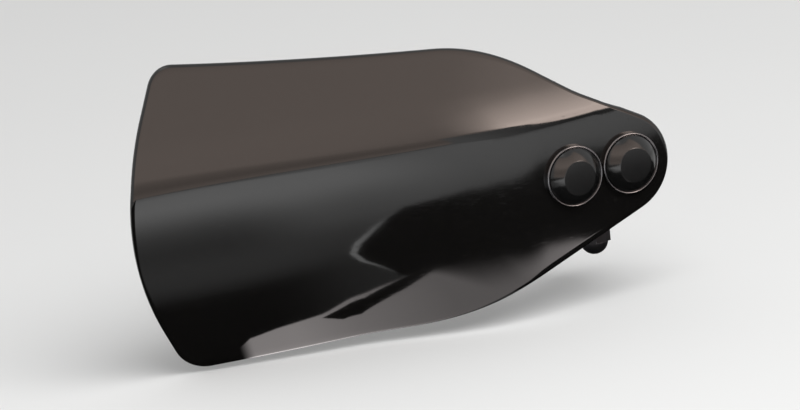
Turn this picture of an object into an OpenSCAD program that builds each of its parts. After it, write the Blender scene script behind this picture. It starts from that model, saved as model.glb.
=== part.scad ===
// Hand guard for the right grip of a motorcycle. One moulded shell hangs on a bent steel
// bracket by two cushioned screws under snap caps, and the bracket clamps under the
// control perch on the threaded stem of the mirror.
// Millimetres. +X runs inboard along the handlebar, -Y faces the road, +Z is up the stem.
// The origin is on the stem's axis, at the top face of the bracket foot.

/* [Shell outline] */
// Reach of the shell outboard of the mount centre
guard_reach = 196; // [180:1:215]
// Reach of the shell inboard of the mount centre
tab_reach = 31; // [29:0.5:34]
// Radius of the rounded inboard end
tab_r = 21; // [20:0.5:22.5]
// Distance outboard of the hollow in the top edge
neck_out = 6; // [2:0.5:10]
// Height of the hollow above the screws
neck_h = 33; // [31.5:0.5:34]
// Radius of the hollow
neck_r = 60; // [20:5:80]
// Distance outboard of the shoulder in the top edge
shoulder_out = 39; // [36:1:46]
// Height of the shoulder above the screws
shoulder_h = 57; // [54:0.5:61]
// Radius of the shoulder
shoulder_r = 80; // [50:5:90]
// Height of the top outboard corner above the screws
corner_h = 70; // [64:0.5:78]
// Radius of the top outboard corner
corner_r = 11; // [8:0.5:16]
// Drop of the bottom outboard corner below the screws
drop_h = 55.5; // [48:0.5:62]
// Radius of the bottom outboard corner
drop_r = 15; // [10:0.5:20]
// Distance outboard of the turn in the bottom edge
belly_out = 62.5; // [56:0.5:70]
// Drop of the turn in the bottom edge below the screws
belly_h = 50.5; // [45:0.5:52]
// Radius of the turn in the bottom edge
belly_r = 140; // [90:5:150]
// Radius of the bulging outboard end
end_r = 110; // [90:5:125]
// Lean of the outboard end beside its two corners
end_lean = 24; // [20:0.5:27]

/* [Shell form] */
// Wall of the shell
shell_t = 3.5; // [2.5:0.1:4.5]
// Angle of the flat tab to the handlebar
tab_yaw = 20; // [15:0.5:25]
// Length of the flat tab outboard of the mount centre
flat_out = 27; // [26:0.5:34]
// Radius in plan of the sweep towards the outboard end
sweep_r = 480; // [380:10:700]
// Height of the crease above the screws
crease_h = 23.8; // [22:0.1:25]
// Most that the crease bows up between the tab and the outboard end
crease_bow = 2; // [0:0.1:3]
// Rise of the crease on the tab, where it runs out over the top edge
crease_rise = 1; // [0.5:0.5:2]
// Distance inboard at which the crease has risen
crease_in = 10; // [8:1:14]
// Angle that the upper panel leans back just above the crease
crease_start = 20.5; // [15:0.5:25]
// Angle that the upper panel leans back in all
crease_lean = 27; // [25:0.5:32]
// Height over which it comes to lean back in all
crease_ease = 14; // [8:0.5:24]
// Half width of the crease beside the mount
crease_near = 2; // [1.5:0.1:3]
// Half width of the crease at the outboard end
crease_far = 5.3; // [4:0.1:8]
// Radius of the lower panel, from top to bottom
belly_round = 170; // [140:5:260]
// Distance outboard at which the panels have their full form
form_out = 110; // [90:1:140]

/* [Mount position] */
// Distance of the shell's front face ahead of the stem
standoff = 32; // [31:0.5:38]
// Distance of the mount centre outboard of the stem
mount_out = 10; // [8:0.5:13]
// Height of the screws above the top of the foot
mount_h = 24; // [22:0.5:30]

/* [Bracket] */
// Steel plate of the bracket
plate_t = 4; // [3:0.5:5]
// Inner radius of the bend
bend_r = 3; // [2:0.5:4]
// Reach of the bend outboard of the mount centre
bend_out = 22.5; // [19:0.5:25]
// Reach of the bend inboard of the mount centre
bend_in = 3.5; // [0:0.5:6]
// Radius of the plate around each screw
ear_r = 10.8; // [10:0.1:12]
// Radius of the foot around the stem
foot_r = 11.5; // [10.5:0.5:14]
// Hole in the foot for the 5/16 inch stem
stem_hole_d = 8.7; // [8.5:0.1:9]
// Hole in the plate for each screw
screw_hole_d = 6.6; // [6.3:0.1:7]

/* [Snap caps] */
// Diameter of the cap base
base_d = 25; // [24.5:0.1:26]
// Gap between the two cap bases
base_gap = 0.4; // [0.3:0.1:1.4]
// Plate of the cap base
base_t = 1.2; // [1:0.1:1.8]
// Width of the rolled lip of the cap base
lip_w = 1; // [0.8:0.1:1.2]
// Height of the rolled lip above the shell
lip_h = 2; // [1.9:0.1:2.6]
// Gap between the cap and the screw head
head_gap = 0.2; // [0.1:0.05:1]
// Diameter of the flat on the cap
cap_flat_d = 14; // [12:0.1:15]
// Radius of the domed side of the cap
cap_round = 14; // [11:0.5:20]
// Wall of the cap
cap_t = 1.1; // [1:0.1:1.3]
// Gap between the cap and the lip
cap_gap = 0.15; // [0.1:0.05:0.3]
// Diameter of the snap ring on the cap base
snap_d = 16.8; // [16:0.1:17.2]
// Wall of the snap ring
snap_t = 1; // [0.8:0.1:1.2]
// Height of the snap ring above the shell
snap_h = 3.2; // [3:0.1:3.3]
// Radius of the bead round the snap ring
bead_r = 0.35; // [0.3:0.01:0.4]
// Gap round the catch of the cap
catch_gap = 0.1; // [0.05:0.05:0.15]

/* [Screws and nuts] */
// Diameter of the screws
screw_d = 6; // [5:0.5:6]
// Diameter of the button head
head_d = 10.5; // [9.5:0.1:11]
// Height of the button head
head_h = 3.3; // [2.8:0.1:3.6]
// Key size of the socket in the head
key_af = 4; // [3:0.5:5]
// Depth of the socket in the head
key_depth = 2.1; // [1.6:0.1:2.4]
// Length of screw that shows past the nut
screw_proud = 1.2; // [0.5:0.1:4]
// Clearance at the threads
thread_gap = 0.05; // [0.02:0.01:0.1]
// Outer diameter of the flat washers
washer_d = 12; // [11:0.5:14]
// Thickness of the flat washers
washer_t = 1.6; // [1:0.1:2]
// Width across flats of the locknuts
locknut_af = 10; // [10:0.5:11]
// Height of the locknuts
locknut_h = 6; // [5.6:0.1:7]
// Height of the hexagon of the locknuts
locknut_hex_h = 4.3; // [3.8:0.1:4.6]
// Wall of the collar that holds the nylon ring
collar_t = 0.45; // [0.35:0.05:0.6]
// Height of the nylon ring
nylon_h = 1.2; // [0.9:0.1:1.2]

/* [Rubber mounts] */
// Outer diameter of the steel sleeve
sleeve_d = 8; // [7.6:0.1:9]
// Hole in the shell for each rubber grommet
shell_hole_d = 12; // [11.5:0.1:13]
// Diameter of the grommet's flange
grommet_d = 20; // [18:0.5:21]
// Thickness of the grommet's flange
grommet_t = 2.5; // [2:0.1:3.5]
// Rounding of the grommet's flange
grommet_round = 0.8; // [0.4:0.1:0.9]
// Clearance of the sleeve, the grommet and the screw
slip_gap = 0.1; // [0.05:0.05:0.2]

/* [Stem nut] */
// Outer diameter of the flat washer on the stem
stem_washer_d = 15; // [14:0.5:17]
// Outer diameter of the split washer
split_d = 13.8; // [13:0.1:15]
// Gap between the flat washer and the stem
stem_washer_gap = 0.55; // [0.5:0.05:0.7]
// Gap between the split washer and the stem
split_bore_gap = 0.22; // [0.2:0.02:0.26]
// Thickness of the split washer
split_t = 2; // [1.6:0.1:2.4]
// Gap in the split washer
split_gap = 1; // [0.6:0.1:1.6]
// Diameter of the threaded stem
stem_d = 7.94; // [7.9:0.01:8]
// Width across flats of the acorn nut
acorn_af = 12.7; // [12.5:0.1:14]
// Height of the acorn nut
acorn_h = 12; // [11.8:0.1:14]
// Height of the hexagon of the acorn nut
acorn_hex_h = 6.2; // [5:0.1:6.2]
// Diameter of the dome of the acorn nut
acorn_dome_d = 11.4; // [10.6:0.1:11.8]
// Depth of the thread in the acorn nut
acorn_depth = 9.5; // [8:0.1:9.8]

/* [Hidden] */

// Sides of a true round, and how far a cut runs past a face
round_fn = 64;
past = 1;

OUTBOARD = -1;
INBOARD = 1;

screw_pitch = base_d + base_gap;
cap_h = base_t + head_h + head_gap + cap_t;

// Levels along a screw, from the front face of the shell: forward is positive
plate_front = -shell_t - grommet_t;
plate_back = plate_front - plate_t;
nut_seat = plate_back - washer_t;
screw_tip = nut_seat - locknut_h - screw_proud;

// Levels under the foot, from the origin down
stem_washer_z = -plate_t - washer_t;
split_z = stem_washer_z - split_t;

// Mesh of the shell: segments along the tab's end, the edges and the corners, then the
// rows below, across and above the crease, and the segments round the rim
tab_cols = 4;
edge_cols = 42;
corner_cols = 6;
low_rows = 13;
crease_rows = 4;
top_rows = 8;
rim_segs = 4;
cols = tab_cols + edge_cols + corner_cols;
rows = low_rows + crease_rows + top_rows;
loop_n = 2 * (cols + rows);
// Segments of a rounded corner when the outline is first drawn
arc_segs = 24;
// Half angle of the tab's end that the first column follows
tab_split = 25;
// Columns over which the bulge of each end fades into the shell
end_blend = 16;
tab_blend = 9;
// Share of a column's height above the crease, at least: along the shell and on the tab's end
top_share = 0.06;
tab_share = 0.3;
// Step for the slope of the surface
slope_step = 0.05;

// Plane geometry
function unit(v) = v / norm(v);
function at_angle(a) = [cos(a), sin(a)];
function angle_of(v) = atan2(v.y, v.x);
function mix(a, b, t) = a + (b - a) * t;
function smooth(t) = let (s = min(1, max(0, t))) s * s * (3 - 2 * s);

// Points of an arc from angle a0 to a1
function arc(c, r, a0, a1, n) = [for (i = [0:n]) c + r * at_angle(mix(a0, a1, i / n))];

// Arc of radius r that rounds the corner b between the points a and c
function rounded(a, b, c, r, n) =
    let (
        u = unit(a - b),
        v = unit(c - b),
        half = acos(u * v) / 2,
        centre = b + unit(u + v) * r / sin(half),
        start = angle_of(b + u * r / tan(half) - centre),
        turn = cross(u, v) > 0 ? 2 * half - 180 : 180 - 2 * half
    )
    arc(centre, r, start, start + turn, n);

// Point where a line from p touches the circle of centre c and radius r
function touch(p, c, r, side) =
    let (d = c - p, far = norm(d))
    p + sqrt(far * far - r * r) * at_angle(angle_of(d) + side * asin(r / far));

// Outline of the shell, seen from the front: [along the tab, above the screws]
tab_c = [tab_reach - tab_r, 0];
neck = [-neck_out, neck_h];
shoulder = [-shoulder_out, shoulder_h];
belly = [-belly_out, -belly_h];
end_half = (corner_h + drop_h) / 2;
end_mid = (corner_h - drop_h) / 2;
corner_out = guard_reach - end_half * tan(end_lean) + end_r * (1 / cos(end_lean) - 1);
top_corner = [-corner_out, corner_h];
low_corner = [-corner_out, -drop_h];
end_tip = [-corner_out - end_half * tan(end_lean), end_mid];
top_touch = touch(neck, tab_c, tab_r, 1);
low_touch = touch(belly, tab_c, tab_r, -1);

top_corner_arc = rounded(shoulder, top_corner, end_tip, corner_r, corner_cols);
low_corner_arc = rounded(belly, low_corner, end_tip, drop_r, corner_cols);
top_edge = concat(
    [top_touch],
    rounded(top_touch, neck, shoulder, neck_r, arc_segs),
    rounded(neck, shoulder, top_corner, shoulder_r, arc_segs),
    [top_corner_arc[0]]
);
low_edge = concat(
    [low_touch],
    rounded(low_touch, belly, low_corner, belly_r, arc_segs),
    [low_corner_arc[0]]
);
// The outboard end holds its heights first, because it is read by height
end_edge = [for (p = concat(
    [low_corner_arc[corner_cols]],
    rounded(low_corner, end_tip, top_corner, end_r, arc_segs),
    [top_corner_arc[corner_cols]]
)) [p.y, p.x]];

// Bottom or top end of each column, from the tab to the outboard end
function column_ends(edge, corner_arc, side) = concat(
    arc(tab_c, tab_r, side * tab_split, angle_of(edge[0] - tab_c), tab_cols),
    [for (i = [1:edge_cols - 1])
        let (u = mix(edge[0].x, corner_arc[0].x, i / edge_cols)) [u, lookup(u, edge)]],
    corner_arc
);
low_ends = column_ends(low_edge, low_corner_arc, -1);
top_ends = column_ends(top_edge, top_corner_arc, 1);

// How far the panels have opened out, from 0 on the tab to 1
function form(u) = smooth((-u - flat_out) / (form_out - flat_out));
// The crease bows most and widens faster in its outboard half
function outward(u) = max(0, min(1, (-u - flat_out) / (guard_reach - flat_out)));
function crease_half(u) = mix(crease_near, crease_far, pow(outward(u), 2));
function crease_at(u) =
    crease_h + crease_bow * 27 / 4 * pow(outward(u), 2) * (1 - outward(u))
        + crease_rise * smooth((u + flat_out) / (flat_out + crease_in));

// Height of row j on a column at u between the heights a and b: one row follows the crease
function row_h(u, a, b, j) =
    let (
        share = mix(top_share, tab_share, smooth((u - crease_in) / (tab_c.x - crease_in + tab_r / 2))),
        c = min(crease_at(u), b - share * (b - a)),
        w = min(crease_half(u), 0.8 * (b - c))
    )
    j <= low_rows ? mix(a, c - w, j / low_rows)
    : j <= low_rows + crease_rows ? mix(c - w, c + w, (j - low_rows) / crease_rows)
    : mix(c + w, b, (j - low_rows - crease_rows) / top_rows);

function end_row_h(i, j) = row_h(low_ends[i].x, low_ends[i].y, top_ends[i].y, j);

// The whole outline, clockwise from the bottom of the tab
outline = concat(
    low_ends,
    [for (j = [1:rows - 1]) let (h = end_row_h(cols, j)) [lookup(h, end_edge), h]],
    [for (i = [cols:-1:0]) top_ends[i]],
    [for (j = [rows - 1:-1:1])
        let (h = end_row_h(0, j)) [tab_c.x + sqrt(tab_r * tab_r - h * h), h]]
);

// The same points, half a wall inside: the flat of the shell ends here and its rim starts.
// The shorter of the two steps at a point counts for more in its direction
function inward(v) = unit([v.y, -v.x]);
inset = [for (k = [0:loop_n - 1])
    let (
        ahead = outline[(k + 1) % loop_n] - outline[k],
        behind = outline[k] - outline[(k + loop_n - 1) % loop_n]
    )
    outline[k] + inward(unit(ahead) * norm(behind) + unit(behind) * norm(ahead)) * shell_t / 2];

function low_pt(i) = inset[i];
function end_pt(j) = inset[cols + j];
function top_pt(i) = inset[2 * cols + rows - i];
function tab_pt(j) = inset[(loop_n - j) % loop_n];

// Point of column i at row j: the columns bow like the two ends near them
function chord(a, b, h) = mix(a, b, (h - a.y) / (b.y - a.y));
function end_bow(j) = end_pt(j) - chord(low_pt(cols), top_pt(cols), end_pt(j).y);
function tab_bow(j) = tab_pt(j) - chord(low_pt(0), top_pt(0), tab_pt(j).y);
function grid_pt(i, j) =
    i == 0 ? tab_pt(j)
    : i == cols ? end_pt(j)
    : let (a = low_pt(i), b = top_pt(i))
        chord(a, b, row_h(a.x, a.y, b.y, j))
            + end_bow(j) * smooth(1 - (cols - i) / end_blend)
            + tab_bow(j) * smooth(1 - i / tab_blend);

// Curve that leaves the ground at a and climbs at one in one from b on
function ramp(x, a, b) = x < a ? 0 : x < b ? pow(x - a, 2) / (2 * (b - a)) : x - (a + b) / 2;

// Front surface of the shell in the tab's own frame: x along the tab, y to the rear
function setback(u, h) =
    let (d = h - crease_at(u), w = crease_half(u), first = tan(crease_start))
    first * ramp(d, -w, w) + (tan(crease_lean) - first) * ramp(d, -w, w + crease_ease)
        + (d < 0 ? form(u) * d * d / (2 * belly_round) : 0);
function sweep_angle(u) = max(0, -u - flat_out) / sweep_r * 180 / PI;
function skin_pt(u, h) =
    let (a = sweep_angle(u), back = setback(u, h))
    [
        max(u, -flat_out) - (sweep_r - back) * sin(a),
        sweep_r - (sweep_r - back) * cos(a),
        h
    ];
function skin_normal(u, h) = unit(cross(
    skin_pt(u + slope_step, h) - skin_pt(u - slope_step, h),
    skin_pt(u, h + slope_step) - skin_pt(u, h - slope_step)
));

// Skin of the shell at a depth below the front surface
function skin(depth) = [for (i = [0:cols]) for (j = [0:rows])
    let (p = grid_pt(i, j)) skin_pt(p.x, p.y) - skin_normal(p.x, p.y) * depth];

// Ring of the rim: its section is half an ellipse through the front, the outline and the back
function rim_ring(a) = [for (k = [0:loop_n - 1])
    let (
        p = inset[k],
        q = outline[k],
        n = skin_normal(p.x, p.y) * shell_t / 2,
        mid = skin_pt(p.x, p.y) - n,
        edge = skin_pt(q.x, q.y) - skin_normal(q.x, q.y) * shell_t / 2
    )
    mid + n * sin(a) + (edge - mid) * cos(a)];

// Number of the skin point at place k of the loop
function skin_no(i, j) = i * (rows + 1) + j;
function border_no(k) =
    k <= cols ? skin_no(k, 0)
    : k <= cols + rows ? skin_no(cols, k - cols)
    : k <= 2 * cols + rows ? skin_no(2 * cols + rows - k, rows)
    : skin_no(0, loop_n - k);

module shell_body() {
    skin_n = (cols + 1) * (rows + 1);
    rim_from = 2 * skin_n;
    rings = [for (r = [1:rim_segs - 1]) rim_ring(90 - 180 * r / rim_segs)];
    points = concat(skin(0), skin(shell_t), [for (ring = rings) each ring]);
    front = [for (i = [0:cols - 1]) for (j = [0:rows - 1])
        [skin_no(i, j), skin_no(i + 1, j), skin_no(i + 1, j + 1), skin_no(i, j + 1)]];
    back = [for (f = front) [for (k = [3:-1:0]) f[k] + skin_n]];
    // Ring 0 is the border of the front skin and the last ring that of the back
    ring_nos = concat(
        [[for (k = [0:loop_n - 1]) border_no(k)]],
        [for (r = [0:rim_segs - 2]) [for (k = [0:loop_n - 1]) rim_from + r * loop_n + k]],
        [[for (k = [0:loop_n - 1]) border_no(k) + skin_n]]
    );
    rim = [for (r = [0:rim_segs - 1]) for (k = [0:loop_n - 1])
        let (n = (k + 1) % loop_n)
        [ring_nos[r][k], ring_nos[r + 1][k], ring_nos[r + 1][n], ring_nos[r][n]]];
    triangles = [for (f = concat(front, back, rim)) each [[f[0], f[1], f[2]], [f[0], f[2], f[3]]]];
    polyhedron(points = points, faces = triangles);
}

// Places
module at_mount() {
    rotate([0, 0, tab_yaw]) translate([-mount_out, -standoff, mount_h]) children();
}

// On a screw, with z forward from the front face of the shell
module at_screw(side) {
    at_mount() translate([side * screw_pitch / 2, 0, 0]) rotate([90, 0, 0]) children();
}

// Round tube between two levels of z
module tube(d_out, d_in, z0, z1) {
    translate([0, 0, z0]) difference() {
        cylinder(d = d_out, h = z1 - z0, $fn = round_fn);
        translate([0, 0, -past]) cylinder(d = d_in, h = z1 - z0 + 2 * past, $fn = round_fn);
    }
}

// Hexagon of a nut between z = 0 and h, with its corners turned off at the ends named
module nut_hexagon(af, h, top, bottom) {
    across = af / cos(30);
    cone = af / 2;
    turned = 0.97;
    intersection() {
        cylinder(d = across, h = h, $fn = 6);
        union() {
            translate([0, 0, bottom ? (across - af) / 2 : 0])
                cylinder(d = across + past, h = h - (across - af) / 2 * ((top ? 1 : 0) + (bottom ? 1 : 0)),
                    $fn = round_fn);
            if (top) translate([0, 0, h - cone])
                cylinder(r1 = turned * cone + cone, r2 = turned * cone, h = cone, $fn = round_fn);
            if (bottom) cylinder(r1 = turned * cone, r2 = turned * cone + cone, h = cone, $fn = round_fn);
        }
    }
}

// The moulded shell with its two holes for the grommets
module guard_shell() {
    color("#1b1b1c") difference() {
        at_mount() shell_body();
        for (side = [OUTBOARD, INBOARD]) at_screw(side)
            translate([0, 0, -shell_t - past])
                cylinder(d = shell_hole_d, h = shell_t + 2 * past, $fn = round_fn);
    }
}

// Plate behind the tab: an ear round each screw, tapering down to the bend
module flange_outline() {
    ear_x = screw_pitch / 2;
    foot_y = bend_r - mount_h;
    out_end = [-bend_out, foot_y];
    in_end = [bend_in, foot_y];
    polygon([
        out_end, in_end,
        touch(in_end, [ear_x, 0], ear_r, -1), [ear_x, ear_r],
        [-ear_x, ear_r], touch(out_end, [-ear_x, 0], ear_r, 1)
    ]);
    for (side = [OUTBOARD, INBOARD]) translate([side * ear_x, 0]) circle(r = ear_r, $fn = round_fn);
}

// Foot: a tongue from the bend back to a round end on the stem
module foot_outline(bend_y) {
    out_end = [-mount_out - bend_out, bend_y];
    in_end = [-mount_out + bend_in, bend_y];
    polygon([
        out_end, in_end,
        touch(in_end, [0, 0], foot_r, -1), [0, 0], touch(out_end, [0, 0], foot_r, 1)
    ]);
    circle(r = foot_r, $fn = round_fn);
}

module mounting_bracket() {
    back_y = -standoff - plate_back;
    bend_y = back_y + bend_r;
    outer_r = bend_r + plate_t;
    color("#222224") difference() {
        rotate([0, 0, tab_yaw]) union() {
            translate([0, 0, -plate_t]) linear_extrude(plate_t) foot_outline(bend_y);
            translate([-mount_out - bend_out, bend_y, bend_r]) rotate([90, 0, 90])
                linear_extrude(bend_out + bend_in) difference() {
                    intersection() {
                        circle(r = outer_r, $fn = round_fn);
                        translate([-outer_r, -outer_r]) square(outer_r);
                    }
                    circle(r = bend_r, $fn = round_fn);
                }
            translate([-mount_out, back_y, mount_h]) rotate([90, 0, 0])
                linear_extrude(plate_t) flange_outline();
        }
        translate([0, 0, -plate_t - past])
            cylinder(d = stem_hole_d, h = plate_t + 2 * past, $fn = round_fn);
        for (side = [OUTBOARD, INBOARD]) at_screw(side)
            translate([0, 0, plate_back - past])
                cylinder(d = screw_hole_d, h = plate_t + 2 * past, $fn = round_fn);
    }
}

// Snap cap and its base share these radii
skirt_r = base_d / 2 - lip_w - cap_gap;
snap_r = snap_d / 2;
// The dome is an arc from the top of the lip to the edge of the flat
dome_low = [skirt_r, lip_h];
dome_high = [cap_flat_d / 2, cap_h];
dome_half = norm(dome_high - dome_low) / 2;
dome_c = (dome_low + dome_high) / 2
    + inward(dome_low - dome_high) * sqrt(cap_round * cap_round - dome_half * dome_half);

// Domed outline from the height low up, at a depth below the outer face
module dome_outline(depth, low) {
    intersection() {
        translate([0, low]) square([skirt_r - depth, cap_h - depth - low]);
        translate(dome_c) circle(r = cap_round - depth, $fn = 2 * round_fn);
    }
}

// Pushed over the snap ring, until its catch sits below the bead of the ring
module cap(side) {
    catch_r = snap_r + catch_gap;
    catch_h = snap_h - 2 * bead_r - base_t - catch_gap;
    color("#161617") at_screw(side) rotate_extrude($fn = round_fn) {
        difference() {
            dome_outline(0, base_t);
            dome_outline(cap_t, base_t - past);
        }
        translate([catch_r, base_t]) square([skirt_r - cap_t / 2 - catch_r, catch_h]);
    }
}

// Plate under the screw head, with the rolled lip and the snap ring
module cap_base(side) {
    hole_r = screw_hole_d / 2;
    lip_x = base_d / 2 - lip_w / 2;
    color("#1e1e20") at_screw(side) rotate_extrude($fn = round_fn) {
        translate([hole_r, 0]) square([lip_x - hole_r, base_t]);
        translate([lip_x - lip_w / 2, 0]) square([lip_w, lip_h - lip_w / 2]);
        translate([lip_x, lip_h - lip_w / 2]) circle(d = lip_w, $fn = round_fn);
        translate([snap_r - snap_t, 0]) square([snap_t, snap_h]);
        translate([snap_r, snap_h - bead_r]) circle(r = bead_r, $fn = round_fn);
    }
}

// Button head screw with a hexagon socket
module screw(side) {
    // Ball that the head is cut from, through the rim and the top of the head
    ball_r = (head_d * head_d / 4 + head_h * head_h) / (2 * head_h);
    point = screw_d / 8;
    color("#6f7276") at_screw(side) {
        translate([0, 0, base_t]) difference() {
            rotate_extrude($fn = round_fn) intersection() {
                square([head_d / 2, head_h]);
                translate([0, head_h - ball_r]) circle(r = ball_r, $fn = 2 * round_fn);
            }
            translate([0, 0, head_h - key_depth])
                cylinder(d = key_af / cos(30), h = key_depth + past, $fn = 6);
        }
        translate([0, 0, screw_tip + point])
            cylinder(d = screw_d, h = base_t - screw_tip - point, $fn = round_fn);
        translate([0, 0, screw_tip])
            cylinder(d1 = screw_d - 2 * point, d2 = screw_d, h = point, $fn = round_fn);
    }
}

// Rubber bush through the shell with a flange behind it
module grommet(side) {
    bush_r = shell_hole_d / 2 - slip_gap;
    bore_r = sleeve_d / 2 + slip_gap;
    round_x = grommet_d / 2 - grommet_round;
    color("#2c2c2e") at_screw(side) rotate_extrude($fn = round_fn) {
        translate([bore_r, -shell_t]) square([bush_r - bore_r, shell_t]);
        translate([bore_r, plate_front]) square([round_x - bore_r, grommet_t]);
        translate([bore_r, plate_front + grommet_round])
            square([grommet_d / 2 - bore_r, grommet_t - 2 * grommet_round]);
        for (z = [plate_front + grommet_round, -shell_t - grommet_round])
            translate([round_x, z]) circle(r = grommet_round, $fn = round_fn);
    }
}

// Steel sleeve that takes the clamping load past the rubber
module sleeve(side) {
    color("#9a9da0") at_screw(side) tube(sleeve_d, screw_d + 2 * slip_gap, plate_front, 0);
}

module washer(side) {
    color("#a4a7aa") at_screw(side) tube(washer_d, screw_d + 4 * slip_gap, nut_seat, plate_back);
}

// Where the nylon ring sits in the collar of the locknut
collar_r = locknut_af / 2 - 2 * slip_gap;
nylon_r = collar_r - collar_t;
nylon_z = locknut_h - collar_t - nylon_h;

// Locknut: hexagon against the washer, collar with a curled lip away from it
module locknut(side) {
    bore_r = screw_d / 2 + thread_gap;
    color("#b3b6b9") at_screw(side) translate([0, 0, nut_seat]) mirror([0, 0, 1]) difference() {
        union() {
            nut_hexagon(locknut_af, locknut_hex_h, false, true);
            rotate_extrude($fn = round_fn) {
                square([collar_r, locknut_h - collar_t]);
                square([collar_r - collar_t, locknut_h]);
                translate([collar_r - collar_t, locknut_h - collar_t])
                    circle(r = collar_t, $fn = round_fn);
            }
        }
        translate([0, 0, -past]) cylinder(r = bore_r, h = locknut_h, $fn = round_fn);
        translate([0, 0, nylon_z]) cylinder(r = nylon_r, h = nylon_h, $fn = round_fn);
        translate([0, 0, nylon_z])
            cylinder(r = (bore_r + nylon_r) / 2, h = locknut_h, $fn = round_fn);
    }
}

module nylon_ring(side) {
    color("#dfe3e6") at_screw(side) translate([0, 0, nut_seat]) mirror([0, 0, 1])
        tube(2 * nylon_r, screw_d + 2 * thread_gap, nylon_z, nylon_z + nylon_h);
}

// Washers and nut under the foot, on the stem of the mirror
module stem_washer() {
    color("#a4a7aa") tube(stem_washer_d, stem_d + 2 * stem_washer_gap, stem_washer_z, -plate_t);
}

module stem_lock_washer() {
    // Slant of the cut through the ring
    slant = 25;
    color("#8f9295") difference() {
        tube(split_d, stem_d + 2 * split_bore_gap, split_z, stem_washer_z);
        translate([0, split_d / 2, split_z + split_t / 2]) rotate([0, slant, 0])
            cube([split_gap, split_d, 3 * split_t], center = true);
    }
}

module stem_acorn_nut() {
    dome_r = acorn_dome_d / 2;
    color("#c2c4c6") translate([0, 0, split_z]) mirror([0, 0, 1]) difference() {
        union() {
            rotate([0, 0, 30]) nut_hexagon(acorn_af, acorn_hex_h, true, true);
            rotate_extrude($fn = round_fn) {
                square([dome_r, acorn_h - dome_r]);
                intersection() {
                    square([dome_r, acorn_h]);
                    translate([0, acorn_h - dome_r]) circle(r = dome_r, $fn = 2 * round_fn);
                }
            }
        }
        translate([0, 0, -past])
            cylinder(d = stem_d + 2 * thread_gap, h = acorn_depth + past, $fn = round_fn);
    }
}

guard_shell();
mounting_bracket();
cap(OUTBOARD);  // outboard_cap
cap_base(OUTBOARD);  // outboard_cap_base
screw(OUTBOARD);  // outboard_screw
grommet(OUTBOARD);  // outboard_grommet
sleeve(OUTBOARD);  // outboard_sleeve
washer(OUTBOARD);  // outboard_washer
locknut(OUTBOARD);  // outboard_locknut
nylon_ring(OUTBOARD);  // outboard_nylon_ring
cap(INBOARD);  // inboard_cap
cap_base(INBOARD);  // inboard_cap_base
screw(INBOARD);  // inboard_screw
grommet(INBOARD);  // inboard_grommet
sleeve(INBOARD);  // inboard_sleeve
washer(INBOARD);  // inboard_washer
locknut(INBOARD);  // inboard_locknut
nylon_ring(INBOARD);  // inboard_nylon_ring
stem_washer();
stem_lock_washer();
stem_acorn_nut();
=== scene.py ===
import math

import bmesh
import bpy
import numpy
from bpy.props import FloatProperty, FloatVectorProperty, PointerProperty
from mathutils import Matrix, Vector


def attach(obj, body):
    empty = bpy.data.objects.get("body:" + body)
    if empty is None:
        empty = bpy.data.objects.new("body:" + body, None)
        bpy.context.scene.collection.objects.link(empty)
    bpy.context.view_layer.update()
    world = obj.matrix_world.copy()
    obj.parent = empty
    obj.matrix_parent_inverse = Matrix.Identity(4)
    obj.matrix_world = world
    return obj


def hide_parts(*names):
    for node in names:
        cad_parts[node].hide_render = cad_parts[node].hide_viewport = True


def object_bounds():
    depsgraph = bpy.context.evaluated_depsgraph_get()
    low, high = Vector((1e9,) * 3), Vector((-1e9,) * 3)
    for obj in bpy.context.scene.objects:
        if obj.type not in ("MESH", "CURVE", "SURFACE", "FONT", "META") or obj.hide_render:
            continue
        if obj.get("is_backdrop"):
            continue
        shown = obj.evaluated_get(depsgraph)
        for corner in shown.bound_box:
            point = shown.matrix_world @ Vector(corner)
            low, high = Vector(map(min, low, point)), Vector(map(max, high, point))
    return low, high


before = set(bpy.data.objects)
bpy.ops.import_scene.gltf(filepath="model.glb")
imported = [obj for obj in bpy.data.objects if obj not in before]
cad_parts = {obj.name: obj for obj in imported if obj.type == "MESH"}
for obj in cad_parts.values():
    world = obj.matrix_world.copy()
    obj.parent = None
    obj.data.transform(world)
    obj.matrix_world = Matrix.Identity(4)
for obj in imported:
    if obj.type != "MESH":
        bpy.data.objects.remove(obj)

bl_info = {
    "name": "Motorcycle hand guard",
    "version": (1, 0, 0),
    "blender": (4, 5, 0),
    "location": "3D View > Sidebar > Hand guard",
    "description": "Dresses the hand guard: shell, snap caps, cushioned screws and bracket",
    "category": "Object",
}

MM = 0.001
SIDES = {"outboard": -1, "inboard": 1}
TURN = 2 * math.pi
# Segments of a full turn, of a rounded edge and of an arc in a profile
ROUND_STEPS = 96
EDGE_STEPS = 3
ARC_STEPS = 24
# An edge that turns by more than this is broken, one that turns by more than the next is
# shaded sharp, and one that turns by less than the last is no edge
CORNER_ANGLE = math.radians(20)
SHARP_ANGLE = math.radians(50)
FLAT_ANGLE = math.radians(0.5)
# Points closer than this are one: in a turned body and in any other
WELD = 1e-7
MERGE = 1e-6
# A thread's ridge in pitches: half its width at the root and at the crest, and its height on
# a screw and in a nut. Its root is sunk a little into what carries it
ROOT_HALF = 0.46
CREST_HALF = 0.08
OUTER_THREAD = 0.61
INNER_THREAD = 0.6
ROOT_SUNK = 0.05 * MM

# Mesh of the shell: columns along the tab's end, the edges and a corner, then rows below,
# across and above the crease, and the steps round the rim
TAB_COLS = 8
EDGE_COLS = 120
CORNER_COLS = 12
LOW_ROWS = 34
CREASE_ROWS = 12
TOP_ROWS = 22
RIM_STEPS = 8
COLS = TAB_COLS + EDGE_COLS + CORNER_COLS
ROWS = LOW_ROWS + CREASE_ROWS + TOP_ROWS
LOOP = 2 * (COLS + ROWS)
# Share of the columns over which the bulge of each end fades into the shell
END_BLEND = 0.28
TAB_BLEND = 0.16
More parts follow.
